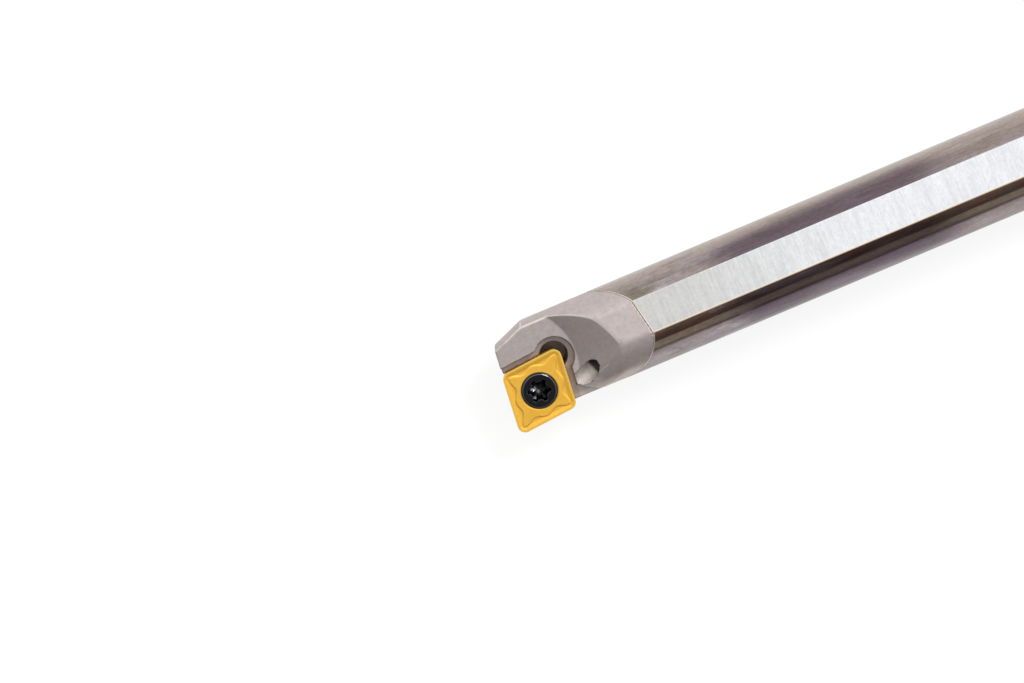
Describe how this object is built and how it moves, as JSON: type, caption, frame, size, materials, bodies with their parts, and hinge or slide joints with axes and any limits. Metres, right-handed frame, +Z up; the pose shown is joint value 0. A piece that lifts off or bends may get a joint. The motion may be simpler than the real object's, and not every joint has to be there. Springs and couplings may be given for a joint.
{
  "type": "indexable boring bar",
  "caption": "Slim round boring bar with a brazed steel head that holds a screwed-on rhombic insert for turning the inside of bores.",
  "frame": {"origin": "centre of the shank's flat rear end, where the coolant bore opens", "axes": "+X along the bar axis from the rear end to the cutting tip, +Y towards the cutting side, +Z up, square to the two clamping flats"},
  "size_m": [0.1524, 0.0107, 0.0088],
  "materials": {
    "shank": "ground tungsten carbide with light brown heat stains",
    "braze_seam": "thin braze line",
    "head": "fine matte blasted steel",
    "insert": "golden yellow titanium nitride coating",
    "insert_screw": "glossy black"
  },
  "bodies": {
    "root": {"shank": "shank", "braze_seam": "braze_seam", "head": "head", "insert": "insert", "insert_screw": "insert_screw"}
  },
  "joints": []
}
